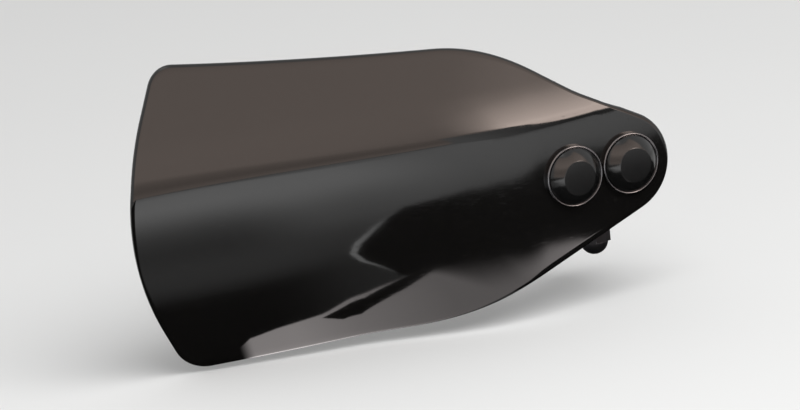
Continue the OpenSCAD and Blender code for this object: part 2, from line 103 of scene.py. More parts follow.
# Share of a column's height above the crease, at least: along the shell and on the tab's end
TOP_SHARE = 0.06
TAB_SHARE = 0.3
# Half angle of the tab's end that the first column follows
TAB_SPLIT = math.radians(25)
# Most of the height above the crease that its upper half takes
CREASE_SHARE = 0.8
# Highest value of x * x * (1 - x), the curve that the crease bows in
BOW_PEAK = 4 / 27
# Step for the slope of the shell's surface
SLOPE_STEP = 0.05 * MM


def length(name, description, millimetres):
    return FloatProperty(name=name, description=description, default=millimetres * MM,
                         unit="LENGTH", precision=5)


def angle(name, description, degrees):
    return FloatProperty(name=name, description=description, default=math.radians(degrees),
                         subtype="ANGLE")


def share(name, description, value):
    return FloatProperty(name=name, description=description, default=value, subtype="FACTOR",
                         min=0, max=1)


def colour(name, description, rgb):
    return FloatVectorProperty(name=name, description=description, default=rgb, subtype="COLOR",
                               size=3, min=0, max=1)


def amount(name, description, value):
    return FloatProperty(name=name, description=description, default=value, min=0)


class ShellSizes(bpy.types.PropertyGroup):
    """Outline and form of the moulded shell, from the middle of its mount."""

    reach: length("Reach", "Reach of the shell outboard", 196)
    tab_reach: length("Tab reach", "Reach of the tab inboard", 31)
    tab_radius: length("Tab radius", "Radius of the tab's round end", 21)
    neck_out: length("Neck out", "Distance outboard of the hollow in the top edge", 6)
    neck_height: length("Neck height", "Height of that hollow", 33)
    neck_radius: length("Neck radius", "Radius of that hollow", 60)
    shoulder_out: length("Shoulder out", "Distance outboard of the shoulder in the top edge", 39)
    shoulder_height: length("Shoulder height", "Height of the shoulder", 57)
    shoulder_radius: length("Shoulder radius", "Radius of the shoulder", 80)
    corner_height: length("Corner height", "Height of the top outboard corner", 70)
    corner_radius: length("Corner radius", "Radius of the top outboard corner", 11)
    drop_height: length("Drop", "Drop of the bottom outboard corner", 55.5)
    drop_radius: length("Drop radius", "Radius of the bottom outboard corner", 15)
    belly_out: length("Belly out", "Distance outboard of the turn in the bottom edge", 62.5)
    belly_height: length("Belly drop", "Drop of that turn", 50.5)
    belly_radius: length("Belly radius", "Radius of that turn", 140)
    end_radius: length("End radius", "Radius of the bulging outboard end", 110)
    end_lean: angle("End lean", "Lean of the outboard end beside its corners", 24)
    wall: length("Wall", "Wall of the shell", 3.5)
    flat_out: length("Flat out", "Length of the flat tab outboard", 27)
    sweep_radius: length("Sweep radius", "Radius in plan of the sweep outboard", 480)
    crease_height: length("Crease height", "Height of the crease", 23.8)
    crease_bow: length("Crease bow", "Most that the crease bows up", 2)
    crease_rise: length("Crease rise", "Rise of the crease on the tab", 1)
    crease_in: length("Crease in", "Distance inboard at which the crease has risen", 10)
    crease_start: angle("Crease start", "Lean of the upper panel just above the crease", 20.5)
    crease_lean: angle("Crease lean", "Lean of the upper panel in all", 27)
    crease_ease: length("Crease ease", "Height over which the panel comes to its full lean", 14)
    crease_near: length("Crease near", "Half width of the crease beside the mount", 2)
    crease_far: length("Crease far", "Half width of the crease at the outboard end", 5.3)
    belly_round: length("Belly round", "Radius of the lower panel from top to bottom", 170)
    form_out: length("Form out", "Distance outboard at which the panels are fully formed", 110)
    hole_d: length("Hole", "Hole for each grommet", 12)


class MountSizes(bpy.types.PropertyGroup):
    """Places of the mount and sizes of the pieces on its two screws."""

    yaw: angle("Yaw", "Angle of the tab to the handlebar", 20)
    standoff: length("Standoff", "Distance of the shell's front ahead of the stem", 32)
    out: length("Mount out", "Distance of the mount outboard of the stem", 10)
    height: length("Mount height", "Height of the screws above the foot", 24)
    pitch: length("Pitch", "Distance between the screws", 25.4)
    plate: length("Plate", "Steel plate of the bracket", 4)
    base_d: length("Base", "Diameter of the cap base", 25)
    base_t: length("Base plate", "Plate of the cap base", 1.2)
    base_hole: length("Base hole", "Hole in the cap base and the bracket", 6.6)
    lip_w: length("Lip", "Width of the rolled lip", 1)
    lip_h: length("Lip height", "Height of the rolled lip above the shell", 2)
    head_gap: length("Head gap", "Gap between the cap and the screw head", 0.2)
    cap_flat: length("Cap flat", "Diameter of the flat on the cap", 14)
    cap_round: length("Cap dome", "Radius of the domed side of the cap", 14)
    cap_t: length("Cap wall", "Wall of the cap", 1.1)
    cap_gap: length("Cap gap", "Gap between the cap and the lip", 0.15)
    snap_d: length("Snap ring", "Diameter of the snap ring", 16.8)
    snap_t: length("Snap wall", "Wall of the snap ring", 1)
    snap_h: length("Snap height", "Height of the snap ring", 3.2)
    bead_r: length("Bead", "Radius of the snap bead", 0.35)
    catch_gap: length("Catch gap", "Gap round the catch of the cap", 0.1)
    screw_d: length("Screw", "Diameter of the screws", 6)
    thread_pitch: length("Thread", "Pitch of the screw thread", 1)
    head_d: length("Head", "Diameter of the button head", 10.5)
    head_h: length("Head height", "Height of the button head", 3.3)
    key: length("Key", "Key size of the socket", 4)
    key_depth: length("Key depth", "Depth of the socket", 2.1)
    tip_out: length("Tip", "Length of screw past the nut", 1.2)
    washer_d: length("Washer", "Diameter of the flat washers", 12)
    washer_t: length("Washer plate", "Thickness of the flat washers", 1.6)
    nut_h: length("Nut height", "Height of the locknuts", 6)
    sleeve_d: length("Sleeve", "Outer diameter of the sleeve", 8)
    grommet_d: length("Grommet", "Diameter of the grommet's flange", 20)
    grommet_t: length("Grommet flange", "Thickness of the grommet's flange", 2.5)
    grommet_round: length("Grommet round", "Rounding of the grommet's flange", 0.8)
    slip: length("Slip gap", "Clearance of sleeve, grommet and screw", 0.1)
    nylon_out: length("Nylon ring", "Outer radius of the nylon ring", 4.35)
    nylon_h: length("Nylon height", "Height of the nylon ring", 1.2)
    nylon_sink: length("Nylon sink", "Depth of the nylon ring below the nut's end", 0.45)
    stem_bore: length("Stem bore", "Bore of the acorn nut", 8.04)
    stem_pitch: length("Stem thread", "Pitch of the thread in the acorn nut", 1.41)
    acorn_top: length("Nut seat", "Depth of the acorn nut's face below the foot's top", 7.6)
    acorn_depth: length("Nut depth", "Depth of the thread in the acorn nut", 9.5)


class Finishes(bpy.types.PropertyGroup):
    """Colours and gloss of the finishes."""

    shell: colour("Shell", "Moulded gloss black", (0.0045, 0.0042, 0.004))
    # The rear's tone is lighter than the front's: painted fill light for the side the lamp barely
    # reaches, on the same black plastic
    shell_back_painted_fill: colour("Shell rear", "Satin rear of the shell", (0.016, 0.0157, 0.0153))
    shell_gloss: share("Shell roughness", "Roughness of the shell's front", 0.055)
    shell_rear: share("Rear roughness", "Roughness of the shell's rear", 0.42)
    cap: colour("Cap", "Snap caps", (0.005, 0.005, 0.005))
    cap_base: colour("Cap base", "Black chrome on the cap bases", (0.14, 0.14, 0.145))
    coat: colour("Powder coat", "Powder coat of the bracket", (0.014, 0.014, 0.015))
    black_zinc: colour("Black zinc", "Black zinc plate on the stem hardware", (0.035, 0.035, 0.037))
    rubber: colour("Rubber", "Grommets", (0.016, 0.016, 0.016))
    nylon: colour("Nylon", "Rings in the locknuts", (0.62, 0.66, 0.68))


class Studio(bpy.types.PropertyGroup):
    """Floor, lights and camera."""

    azimuth: angle("Azimuth", "Camera's turn round the object", -5.5)
    elevation: angle("Elevation", "Camera's height above the horizon", 15)
    roll: angle("Roll", "Roll of the camera", -6)
    distance: length("Distance", "Distance of the camera", 3000)
    view_width: length("View width", "Width of the view at the object", 318)
    aim_drop: length("Aim", "Height of the camera's aim above the middle of the object", -12)
    floor_gap: length("Floor gap", "Gap from the object's lowest point to the floor", 2)
    floor: colour("Floor", "Floor and backdrop", (0.75, 0.75, 0.745))
    sky: amount("Backdrop", "Brightness of the backdrop", 0.82)
    ambient: amount("Ambient", "Brightness of the soft fill from all round", 0.62)
    lamp: amount("Lamp", "Brightness of the large lamp", 3.6)
    panel: amount("Panel", "Brightness of the tall panel that gloss reflects", 1.18)
    hot: amount("Hot spot", "Brightness that it has more of inboard", 6.4)
    warmth: colour("Panel colour", "Colour of that panel", (1.0, 0.82, 0.73))
    far_floor: amount("Far floor", "Brightness of the floor that gloss reflects", 1.0)
    under_glow: amount("Under glow", "Brightness of the card below the object", 1.05)


SETTINGS = {
    "guard_shell_sizes": ShellSizes,
    "guard_mount_sizes": MountSizes,
    "guard_finishes": Finishes,
    "guard_studio": Studio,
}


def settings(name):
    return getattr(bpy.context.scene, name)


# Plane geometry
def mix(a, b, t):
    return a + (b - a) * t


def smooth(t):
    t = min(1.0, max(0.0, t))
    return t * t * (3 - 2 * t)


def ramp(x, a, b):
    """Leaves the ground at a and climbs at one in one from b on."""
    if x < a:
        return 0.0
    if x < b:
        return (x - a) ** 2 / (2 * (b - a))
    return x - (a + b) / 2


def at_angle(turn):
    return Vector((math.cos(turn), math.sin(turn)))


def angle_of(v):
    return math.atan2(v.y, v.x)


def arc(centre, radius, start, end, steps):
    return [Vector(centre) + radius * at_angle(mix(start, end, i / steps)) for i in range(steps + 1)]


def rounded(a, b, c, radius, steps):
    """Arc that rounds the corner b between a and c."""
    u = (a - b).normalized()
    v = (c - b).normalized()
    half = math.acos(u.dot(v)) / 2
    centre = b + (u + v).normalized() * radius / math.sin(half)
    start = angle_of(b + u * radius / math.tan(half) - centre)
    turn = 2 * half - math.pi
    if u.cross(v) < 0:
        turn = -turn
    return arc(centre, radius, start, start + turn, steps)


def touch(p, centre, radius, side):
    """Where a line from p touches the circle."""
    d = centre - p
    along = math.sqrt(d.length_squared - radius * radius)
    return p + along * at_angle(angle_of(d) + side * math.asin(radius / d.length))


def read_off(edge, value, key=0):
    """The other coordinate of an edge at a value of the one that is its key."""
    points = sorted((p[key], p[1 - key]) for p in edge)
    return float(numpy.interp(value, [p[0] for p in points], [p[1] for p in points]))


class ShellForm:
    """Outline and skin of the shell in the tab's frame: x along the tab, y to the rear, z up."""

    def __init__(self, s):
        self.s = s
        self.tab = Vector((s.tab_reach - s.tab_radius, 0))
        neck = Vector((-s.neck_out, s.neck_height))
        shoulder = Vector((-s.shoulder_out, s.shoulder_height))
        belly = Vector((-s.belly_out, -s.belly_height))
        half = (s.corner_height + s.drop_height) / 2
        lean = half * math.tan(s.end_lean)
        out = s.reach - lean + s.end_radius * (1 / math.cos(s.end_lean) - 1)
        top = Vector((-out, s.corner_height))
        low = Vector((-out, -s.drop_height))
        tip = Vector((-out - lean, (s.corner_height - s.drop_height) / 2))
        top_touch = touch(neck, self.tab, s.tab_radius, 1)
        low_touch = touch(belly, self.tab, s.tab_radius, -1)
        top_corner = rounded(shoulder, top, tip, s.corner_radius, CORNER_COLS)
        low_corner = rounded(belly, low, tip, s.drop_radius, CORNER_COLS)
        top_edge = [
            top_touch,
            *rounded(top_touch, neck, shoulder, s.neck_radius, 2 * ARC_STEPS),
            *rounded(neck, shoulder, top, s.shoulder_radius, 2 * ARC_STEPS),
            top_corner[0],
        ]
        low_edge = [
            low_touch,
            *rounded(low_touch, belly, low, s.belly_radius, 2 * ARC_STEPS),
            low_corner[0],
        ]
        self.end_edge = [
            low_corner[-1],
            *rounded(low, tip, top, s.end_radius, 2 * ARC_STEPS),
            top_corner[-1],
        ]
        self.low_ends = self.column_ends(low_edge, low_corner, -1)
        self.top_ends = self.column_ends(top_edge, top_corner, 1)
        self.outline = self.whole_outline()
        self.inset = [self.stepped_in(k) for k in range(LOOP)]
        self.bows()

    def column_ends(self, edge, corner, side):
        """Bottom or top end of each column, from the tab to the outboard end."""
        start = side * TAB_SPLIT
        ends = arc(self.tab, self.s.tab_radius, start, angle_of(edge[0] - self.tab), TAB_COLS)
        for i in range(1, EDGE_COLS):
            u = mix(edge[0].x, corner[0].x, i / EDGE_COLS)
            ends.append(Vector((u, read_off(edge, u))))
        return ends + corner

    def opened(self, u):
        """How far the panels have opened out, from 0 on the tab to 1."""
        return smooth((-u - self.s.flat_out) / (self.s.form_out - self.s.flat_out))

    def outward(self, u):
        """Share of the way from the flat of the tab to the outboard end."""
        s = self.s
        return max(0.0, min(1.0, (-u - s.flat_out) / (s.reach - s.flat_out)))

    def crease_half(self, u):
        return mix(self.s.crease_near, self.s.crease_far, self.outward(u) ** 2)

    def crease_at(self, u):
        s = self.s
        out = self.outward(u)
        rise = s.crease_rise * smooth((u + s.flat_out) / (s.flat_out + s.crease_in))
        return s.crease_height + s.crease_bow / BOW_PEAK * out ** 2 * (1 - out) + rise

    def row_height(self, u, a, b, j):
        """Height of row j on a column between the heights a and b: the rows follow the crease."""
        s = self.s
        near = smooth((u - s.crease_in) / (self.tab.x - s.crease_in + s.tab_radius / 2))
        c = min(self.crease_at(u), b - mix(TOP_SHARE, TAB_SHARE, near) * (b - a))
        w = min(self.crease_half(u), CREASE_SHARE * (b - c))
        if j <= LOW_ROWS:
            return mix(a, c - w, j / LOW_ROWS)
        if j <= LOW_ROWS + CREASE_ROWS:
            return mix(c - w, c + w, (j - LOW_ROWS) / CREASE_ROWS)
        return mix(c + w, b, (j - LOW_ROWS - CREASE_ROWS) / TOP_ROWS)

    def end_height(self, i, j):
        low = self.low_ends[i]
        return self.row_height(low.x, low.y, self.top_ends[i].y, j)

    def whole_outline(self):
        """The outline, clockwise from the bottom of the tab as seen from the front."""
        points = list(self.low_ends)
        for j in range(1, ROWS):
            h = self.end_height(COLS, j)
            points.append(Vector((read_off(self.end_edge, h, key=1), h)))
        points += reversed(self.top_ends)
        for j in range(ROWS - 1, 0, -1):
            h = self.end_height(0, j)
            points.append(Vector((self.tab.x + math.sqrt(self.s.tab_radius ** 2 - h * h), h)))
        return points

    def stepped_in(self, k):
        """Outline point k moved half a wall inwards, where the skin ends and the rim starts."""
        ahead = self.outline[(k + 1) % LOOP] - self.outline[k]
        behind = self.outline[k] - self.outline[k - 1]
        along = ahead.normalized() * behind.length + behind.normalized() * ahead.length
        return self.outline[k] + Vector((along.y, -along.x)).normalized() * self.s.wall / 2

    def low_pt(self, i):
        return self.inset[i]

    def top_pt(self, i):
        return self.inset[2 * COLS + ROWS - i]

    def end_pt(self, j):
        return self.inset[COLS + j]

    def tab_pt(self, j):
        return self.inset[-j]

    def bows(self):
        """How far the two ends bow from straight columns, row by row."""
        def bow(a, b, p):
            return p - mix(a, b, (p.y - a.y) / (b.y - a.y))
        self.end_bow = [bow(self.low_pt(COLS), self.top_pt(COLS), self.end_pt(j))
                        for j in range(ROWS + 1)]
        self.tab_bow = [bow(self.low_pt(0), self.top_pt(0), self.tab_pt(j))
                        for j in range(ROWS + 1)]

    def grid_pt(self, i, j):
        """Place of column i, row j on the flat outline."""
        if i == 0:
            return self.tab_pt(j)
        if i == COLS:
            return self.end_pt(j)
        a = self.low_pt(i)
        b = self.top_pt(i)
        h = self.row_height(a.x, a.y, b.y, j)
        return (mix(a, b, (h - a.y) / (b.y - a.y))
                + self.end_bow[j] * smooth(1 - (COLS - i) / (END_BLEND * COLS))
                + self.tab_bow[j] * smooth(1 - i / (TAB_BLEND * COLS)))

    def setback(self, u, h):
        """How far the front surface lies behind the upright sweep."""
        s = self.s
        d = h - self.crease_at(u)
        w = self.crease_half(u)
        first = math.tan(s.crease_start)
        rest = math.tan(s.crease_lean) - first
        back = first * ramp(d, -w, w) + rest * ramp(d, -w, w + s.crease_ease)
        if d < 0:
            back += self.opened(u) * d * d / (2 * s.belly_round)
        return back

    def front(self, u, h):
        s = self.s
        turn = max(0.0, -u - s.flat_out) / s.sweep_radius
        r = s.sweep_radius - self.setback(u, h)
        return Vector((max(u, -s.flat_out) - r * math.sin(turn), s.sweep_radius - r * math.cos(turn), h))

    def normal(self, u, h):
        along = self.front(u + SLOPE_STEP, h) - self.front(u - SLOPE_STEP, h)
        up = self.front(u, h + SLOPE_STEP) - self.front(u, h - SLOPE_STEP)
        return along.cross(up).normalized()

    def skin(self, p, depth):
        """Point of the shell at a depth below the front surface."""
        return self.front(p.x, p.y) - self.normal(p.x, p.y) * depth

    def rim(self, k, turn):
        """Point of the rim beside outline point k: half an ellipse from the front to the rear."""
        n = self.normal(*self.inset[k]) * self.s.wall / 2
        mid = self.skin(self.inset[k], self.s.wall / 2)
        edge = self.skin(self.outline[k], self.s.wall / 2)
        return mid + n * math.sin(turn) + (edge - mid) * math.cos(turn)


def border_number(i, j):
    """Number along the outline of the skin's border point, or None inside."""
    if j == 0:
        return i
    if i == COLS:
        return COLS + j
    if j == ROWS:
        return 2 * COLS + ROWS - i
    if i == 0:
        return LOOP - j
    return None


# Mesh making
def mount_place():
    """From the tab's frame to the object's."""
    m = settings("guard_mount_sizes")
    return Matrix.Rotation(m.yaw, 4, "Z") @ Matrix.Translation((-m.out, -m.standoff, m.height))


def screw_place(side):
    """Place of a screw, with z forward from the front face of the shell."""
    m = settings("guard_mount_sizes")
    at_screw = Matrix.Translation((SIDES[side] * m.pitch / 2, 0, 0))
    return mount_place() @ at_screw @ Matrix.Rotation(math.pi / 2, 4, "X")


def turned(bm, corners, closed=True):
    """Spins a profile, points of radius and height, into a round body."""
    path = [bm.verts.new((p[0], 0, p[1])) for p in corners]
    ends = path[1:] + path[:1] if closed else path[1:]
    edges = [bm.edges.new(pair) for pair in zip(path, ends)]
    bmesh.ops.spin(bm, geom=path + edges, cent=(0, 0, 0), axis=(0, 0, 1), angle=TURN,
                   steps=ROUND_STEPS, use_merge=True)
    bmesh.ops.remove_doubles(bm, verts=bm.verts, dist=WELD)
    bmesh.ops.recalc_face_normals(bm, faces=bm.faces)


def break_edges(bm, width):
    """Rounds every corner edge and marks the new faces as edge faces."""
    layer = bm.faces.layers.float.get("edge") or bm.faces.layers.float.new("edge")
    sharp = [e for e in bm.edges if len(e.link_faces) == 2 and e.calc_face_angle() > CORNER_ANGLE]
    made = bmesh.ops.bevel(bm, geom=sharp, offset=width, offset_type="OFFSET", segments=EDGE_STEPS,
                           profile=0.5, affect="EDGES", material=-1, clamp_overlap=True)
    for face in made["faces"]:
        face[layer] = 1.0


def thread(bm, root, crest, pitch, low, high):
    """Adds a screw thread: a ridge from the root radius to the crest, wound from low to high."""
    turns = (high - low) / pitch
    steps = round(ROUND_STEPS / 2 * turns)
    ridge = [(root, -ROOT_HALF), (crest, -CREST_HALF), (crest, CREST_HALF), (root, ROOT_HALF)]
    start = [bm.verts.new((r, 0, low + z * pitch)) for r, z in ridge]
    face = bm.faces.new(start)
    bmesh.ops.spin(bm, geom=[face], cent=(0, 0, 0), axis=(0, 0, 1), angle=TURN * turns,
                   steps=steps, dvec=(0, 0, (high - low) / steps))
    bmesh.ops.recalc_face_normals(bm, faces=bm.faces)


def copy_of(node):
    """A merged copy of a CAD node's mesh, with its flat sides made whole."""
    bm = bmesh.new()
    bm.from_mesh(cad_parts[node].data)
    bmesh.ops.remove_doubles(bm, verts=bm.verts, dist=MERGE)
    bmesh.ops.dissolve_limit(bm, angle_limit=FLAT_ANGLE, verts=bm.verts, edges=bm.edges)
    return bm


def finished(piece):
    """Applies the piece's modifiers."""
    shaped = piece.evaluated_get(bpy.context.evaluated_depsgraph_get())
    mesh = bpy.data.meshes.new_from_object(shaped)
    mesh.name = piece.name
    piece.modifiers.clear()
    piece.data = mesh


def cut(piece, cutter, place):
    """Cuts a shape out of a piece."""
    mesh = bpy.data.meshes.new("cutter")
    cutter.transform(place)
    cutter.to_mesh(mesh)
    cutter.free()
    tool = bpy.data.objects.new("cutter", mesh)
    bpy.context.scene.collection.objects.link(tool)
    modifier = piece.modifiers.new("cut", "BOOLEAN")
    modifier.object = tool
    modifier.operation = "DIFFERENCE"
    modifier.solver = "EXACT"
    finished(piece)
    bpy.data.objects.remove(tool)


def prism(sides, radius, depth):
    bm = bmesh.new()
    bmesh.ops.create_cone(bm, cap_ends=True, segments=sides, radius1=radius, radius2=radius,
                          depth=depth)
    return bm


def added(bm, name, material):
    """Puts the mesh into the scene as an object."""
    mesh = bpy.data.meshes.new(name)
    bm.to_mesh(mesh)
    bm.free()
    mesh.materials.append(material)
    thing = bpy.data.objects.new(name, mesh)
    bpy.context.scene.collection.objects.link(thing)
    return thing


def add_piece(bm, name, node, build):
    """Makes the mesh a piece that stands for a CAD node and rides on the object."""
    piece = added(bm, name, finish(build))
    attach(piece, "root")
    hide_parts(node)
    return piece


def shade(piece):
    """Smooth shading that keeps flat sides flat."""
    piece.data.shade_smooth()
    piece.data.set_sharp_from_angle(angle=SHARP_ANGLE)
    flat = piece.modifiers.new("flat sides", "WEIGHTED_NORMAL")
    flat.keep_sharp = True


def turned_piece(side, name, node, build, edge, corners, closed=True):
    """Turns a profile on the axis of a screw and breaks its corners by a width in millimetres."""
    bm = bmesh.new()
    turned(bm, corners, closed)
    break_edges(bm, edge * MM)
    bm.transform(screw_place(side))
    return add_piece(bm, f"{side}_{name}", f"{side}_{node}", build)


def dressed_piece(name, node, build, edge, more=lambda bm: None):
    """Breaks the corners of a CAD node, adds more to it and shades it."""
    bm = copy_of(node)
    break_edges(bm, edge * MM)
    more(bm)
    shade(add_piece(bm, name, node, build))


# Materials
class Value:
    """A number in a material. Python's operators add the Math nodes."""

    def __init__(self, shader, socket):
        self.shader = shader
        self.socket = socket

    def maths(self, operation, *values):
        node = self.shader.node("ShaderNodeMath", dict(enumerate(values)), operation=operation)
        return Value(self.shader, node.outputs[0])

    def __add__(self, other):
        return self.maths("ADD", self, other)

    __radd__ = __add__

    def __sub__(self, other):
        return self.maths("SUBTRACT", self, other)

    def __rsub__(self, other):
        return self.maths("SUBTRACT", other, self)

    def __mul__(self, other):
        return self.maths("MULTIPLY", self, other)

    __rmul__ = __mul__

    def __pow__(self, other):
        return self.maths("POWER", self, other)

    def most(self, other):
        return self.maths("MAXIMUM", self, other)

    def above(self, low, high):
        """0 below low, 1 above high and a smooth step between."""
        node = self.shader.node("ShaderNodeMapRange", {"Value": self, "From Min": low, "From Max": high},
                                interpolation_type="SMOOTHSTEP")
        return Value(self.shader, node.outputs["Result"])


class Shader:
    """Builds the nodes of a material, a light or the world."""

    def __init__(self, owner):
        self.owner = owner
        owner.use_nodes = True
        self.tree = owner.node_tree
        self.tree.nodes.clear()

    def node(self, kind, sockets, **chosen):
        node = self.tree.nodes.new(kind)
        for name, value in chosen.items():
            setattr(node, name, value)
        for name, value in sockets.items():
            self.put(node.inputs[name], value)
        return node

    def put(self, socket, value):
        if isinstance(value, Value):
            self.tree.links.new(value.socket, socket)
        elif isinstance(value, bpy.types.NodeSocket):
            self.tree.links.new(value, socket)
        elif socket.type == "RGBA":
            socket.default_value = (*value, 1)
        else:
            socket.default_value = value

    def object_point(self, stretch=(1, 1, 1), turn=(0, 0, 0)):
        point = self.node("ShaderNodeTexCoord", {}).outputs["Object"]
        mapping = self.node("ShaderNodeMapping", {"Vector": point, "Scale": stretch, "Rotation": turn})
        return mapping.outputs["Vector"]

    def noise(self, per_metre, detail, stretch=(1, 1, 1), turn=(0, 0, 0)):
        node = self.node("ShaderNodeTexNoise", {"Vector": self.object_point(stretch, turn),
                                                "Scale": per_metre, "Detail": detail})
        return Value(self, node.outputs["Fac"])

    def specks(self, per_metre, size, kept):
        """Small round specks, one in each cell that the share kept picks."""
        cells = self.node("ShaderNodeTexVoronoi", {"Vector": self.object_point(), "Scale": per_metre},
                          feature="F1")
        near = 1 - Value(self, cells.outputs["Distance"]).above(size * 0.5, size)
        parts = self.node("ShaderNodeSeparateColor", {"Color": cells.outputs["Color"]})
        return near * Value(self, parts.outputs["Red"]).above(1 - kept, 1 - kept + 0.02)

    def attribute(self, name):
        node = self.node("ShaderNodeAttribute", {}, attribute_name=name)
        return Value(self, node.outputs["Fac"])

    def blend(self, factor, a, b):
        """Colour a where the factor is 0 and b where it is 1."""
        node = self.node("ShaderNodeMix", {0: factor, 6: a, 7: b}, data_type="RGBA")
        return node.outputs[2]

    def bump(self, height, depth, below=None):
        sockets = {"Height": height, "Distance": depth, "Strength": 1.0}
        if below is not None:
            sockets["Normal"] = below
        return self.node("ShaderNodeBump", sockets).outputs["Normal"]

    def surface(self, **sockets):
        """Ends the material in a Principled surface."""
        names = {"base": "Base Color", "roughness": "Roughness", "metallic": "Metallic", "ior": "IOR",
                 "normal": "Normal", "subsurface": "Subsurface Weight"}
        node = self.node("ShaderNodeBsdfPrincipled", {names[k]: v for k, v in sockets.items()})
        self.node("ShaderNodeOutputMaterial", {"Surface": node.outputs["BSDF"]})
        return self.owner


def finish(build):
    """The material that a function builds, made once and named like it."""
    name = build.__name__
    made = bpy.data.materials.get(name)
    return made or build(Shader(bpy.data.materials.new(name)), settings("guard_finishes"))


def gloss_shell(s, f):
    """Gloss black moulding: faint swirls, fine scratches and dust in front; a satin rear whose lighter
    tone is painted fill light for the poorly lit back.
    """
    rear = s.attribute("across").above(0.6, 0.9)
    cloud = s.noise(14, detail=3)
    scuff = s.noise(260, detail=4, stretch=(1, 1, 7)).above(0.52, 0.78)
    scratches = s.noise(900, detail=2, stretch=(0.04, 1, 1), turn=(0, 0.35, 0)).above(0.70, 0.76)
    gloss = f.shell_gloss + 0.03 * cloud + 0.05 * scuff + 0.10 * scratches
    roughness = gloss * (1 - rear) + (f.shell_rear + 0.08 * cloud) * rear
    # The rear takes the lighter tone, painted fill light; its higher roughness is the real satin finish
    colour = s.blend(rear, f.shell, f.shell_back_painted_fill)
    base = s.blend(0.008 * scuff + 0.015 * scratches, colour, (0.24, 0.22, 0.20))
    wave = s.bump(s.noise(16, detail=1), 0.00012)
    peel = s.bump(s.noise(520, detail=1), 0.0000014, wave)
    parting = 1 - (s.attribute("across") * 2 - 1) ** 2
    seam = s.bump(parting.above(0.985, 0.999), 0.00005, peel)
    grain = s.bump(s.noise(2600, detail=2) * rear, 0.00002, seam)
    marks = s.bump(scratches, -0.000002, grain)
    return s.surface(base=base, roughness=roughness, ior=1.5, normal=marks)


def gloss_cap(s, f):
    """Moulded cap, a little softer than the shell, with handling marks."""
    cloud = s.noise(90, detail=3)
    scratches = s.noise(1500, detail=2, stretch=(0.06, 1, 1), turn=(0, 0.6, 0.2)).above(0.68, 0.76)
    base = s.blend(scratches * 0.03, f.cap, (0.22, 0.21, 0.20))
    roughness = 0.13 + 0.05 * cloud + 0.08 * scratches
    normal = s.bump(scratches, -0.000002, s.bump(s.noise(700, detail=1), 0.000002))
    return s.surface(base=base, roughness=roughness, ior=1.5, normal=normal)


def black_chrome(s, f):
    """Black chrome plate on the cap bases, dulled a little by handling."""
    cloud = s.noise(260, detail=4)
    scuff = s.noise(1800, detail=3).above(0.55, 0.75)
    base = s.blend(cloud.above(0.4, 0.75) * 0.3, f.cap_base, (0.09, 0.09, 0.095))
    roughness = 0.20 + 0.06 * cloud + 0.06 * scuff
    return s.surface(base=base, roughness=roughness, metallic=1.0, normal=s.bump(cloud, 0.000002))


def powder_coat(s, f):
    """Satin powder coat with its fine orange peel, thin and rubbed on the edges."""
    cloud = s.noise(45, detail=3)
    pebble = s.noise(1500, detail=2)
    rubbed = s.attribute("edge") * s.noise(320, detail=4).above(0.56, 0.70)
    dust = s.specks(700, 0.15, 0.2)
    worn = s.blend(rubbed * 0.75, f.coat, (0.16, 0.16, 0.165))
    base = s.blend(dust * 0.4 + cloud.above(0.45, 0.8) * 0.02, worn, (0.3, 0.28, 0.26))
    roughness = 0.40 + 0.10 * cloud + 0.10 * pebble - 0.12 * rubbed
    normal = s.bump(s.noise(5200, detail=1), 0.000002, s.bump(pebble, 0.000022))
    return s.surface(base=base, roughness=roughness, metallic=rubbed * 0.5, ior=1.5, normal=normal)


def zinc_plate(s, f):
    """Bright zinc plate with a faint blue and straw cast and fine handling scratches."""
    cloud = s.noise(140, detail=3)
    tint = s.blend(cloud.above(0.35, 0.65), (0.50, 0.53, 0.58), (0.60, 0.585, 0.54))
    grain = s.noise(2400, detail=3, stretch=(1, 1, 0.15))
    base = s.blend(s.attribute("edge") * 0.4 + grain * 0.1, tint, (0.72, 0.72, 0.72))
    roughness = 0.24 + 0.16 * cloud + 0.12 * grain
    normal = s.bump(grain, 0.000004)
    return s.surface(base=base, roughness=roughness, metallic=1.0, normal=normal)


def black_zinc(s, f):
    """Black zinc plate: dark and oily, with bright metal where the corners are rubbed."""
    cloud = s.noise(160, detail=3)
    rubbed = s.attribute("edge") * s.noise(500, detail=4).above(0.50, 0.62)
    cast = s.blend(cloud.above(0.4, 0.7), f.black_zinc, (0.05, 0.048, 0.056))
    base = s.blend(rubbed * 0.8, cast, (0.32, 0.32, 0.33))
    roughness = 0.30 + 0.14 * cloud - 0.06 * rubbed
    normal = s.bump(s.noise(1800, detail=3), 0.000006)
    return s.surface(base=base, roughness=roughness, metallic=0.75, normal=normal)


def rubber(s, f):
    """Matt moulded rubber with a pale bloom."""
    bloom = s.noise(220, detail=5)
    base = s.blend(bloom.above(0.45, 0.75) * 0.12, f.rubber, (0.12, 0.12, 0.115))
    normal = s.bump(s.noise(2400, detail=3), 0.00001)
    return s.surface(base=base, roughness=0.66 + 0.16 * bloom, ior=1.45, normal=normal)


def nylon(s, f):
    """Natural nylon, slightly waxy."""
    cloud = s.noise(600, detail=3)
    base = s.blend(cloud * 0.3, f.nylon, (0.50, 0.53, 0.52))
    normal = s.bump(cloud, 0.00001)
    return s.surface(base=base, roughness=0.36 + 0.14 * cloud, ior=1.53, normal=normal,
                     subsurface=0.1)


